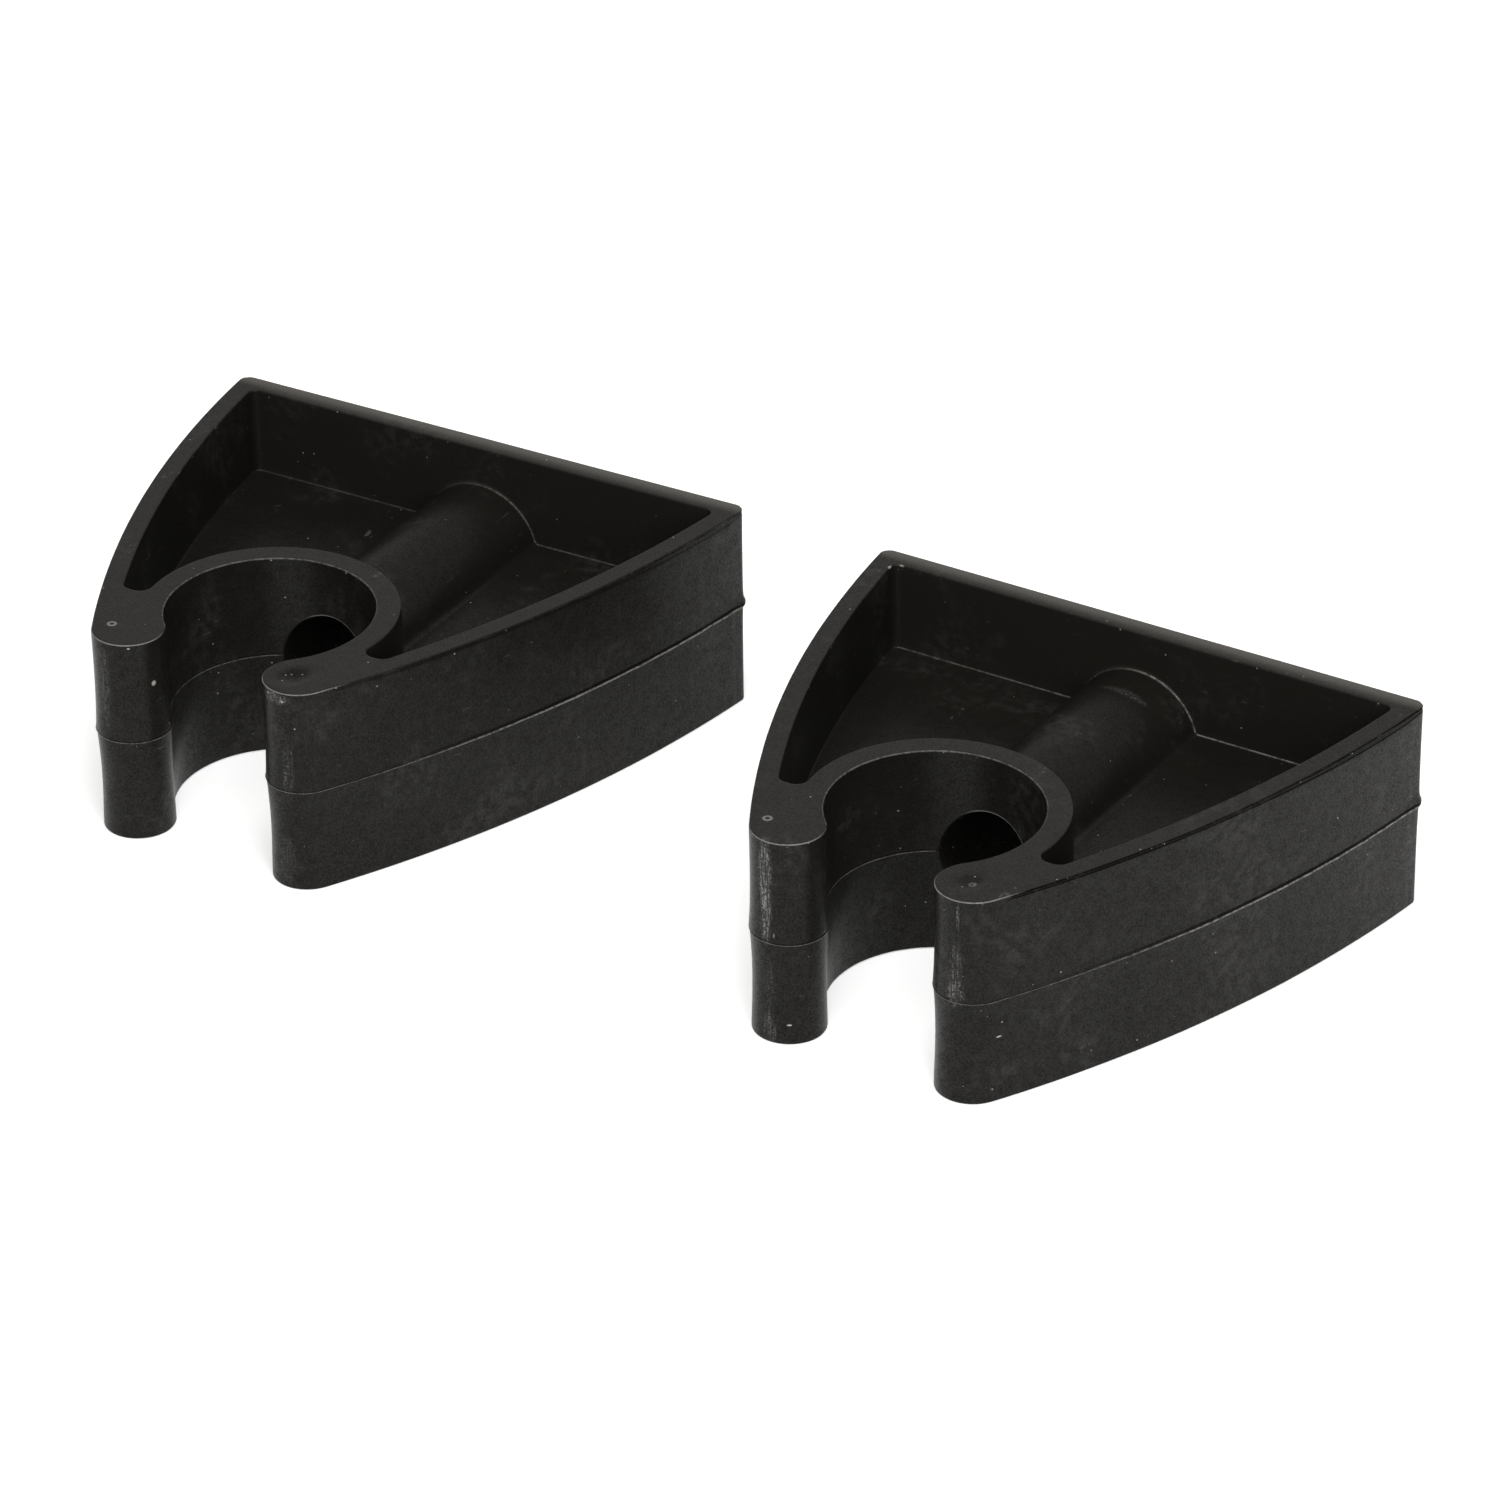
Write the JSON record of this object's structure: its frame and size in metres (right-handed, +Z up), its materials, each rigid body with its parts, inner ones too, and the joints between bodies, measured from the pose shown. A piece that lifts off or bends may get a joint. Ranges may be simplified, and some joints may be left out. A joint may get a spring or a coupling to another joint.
{
  "type": "wheel chock",
  "caption": "Wedge-shaped moulded plastic wheel chock blocks, each with a C-shaped tube clip, cored-out pockets and a bolt hole through its flat back.",
  "frame": {"origin": "on the bore axis of the right chock's clip, in the plane of the open face it rests on", "axes": "+Z up along the clip bores; +Y from the right chock's bore to its flat back; +X to the right, along the backs"},
  "size_m": [0.1674, 0.0683, 0.0267],
  "materials": {
    "black_plastic": "satin injection moulded, black, lightly scuffed"
  },
  "bodies": {
    "right_chock": {"right_chock": "black_plastic"},
    "left_chock": {"left_chock": "black_plastic"}
  },
  "joints": [
    {"name": "left_chock_spacing", "type": "slide", "parent": "right_chock", "child": "left_chock", "axis": [-1, 0, 0], "range_m": [-0.018, 0.15]}
  ]
}
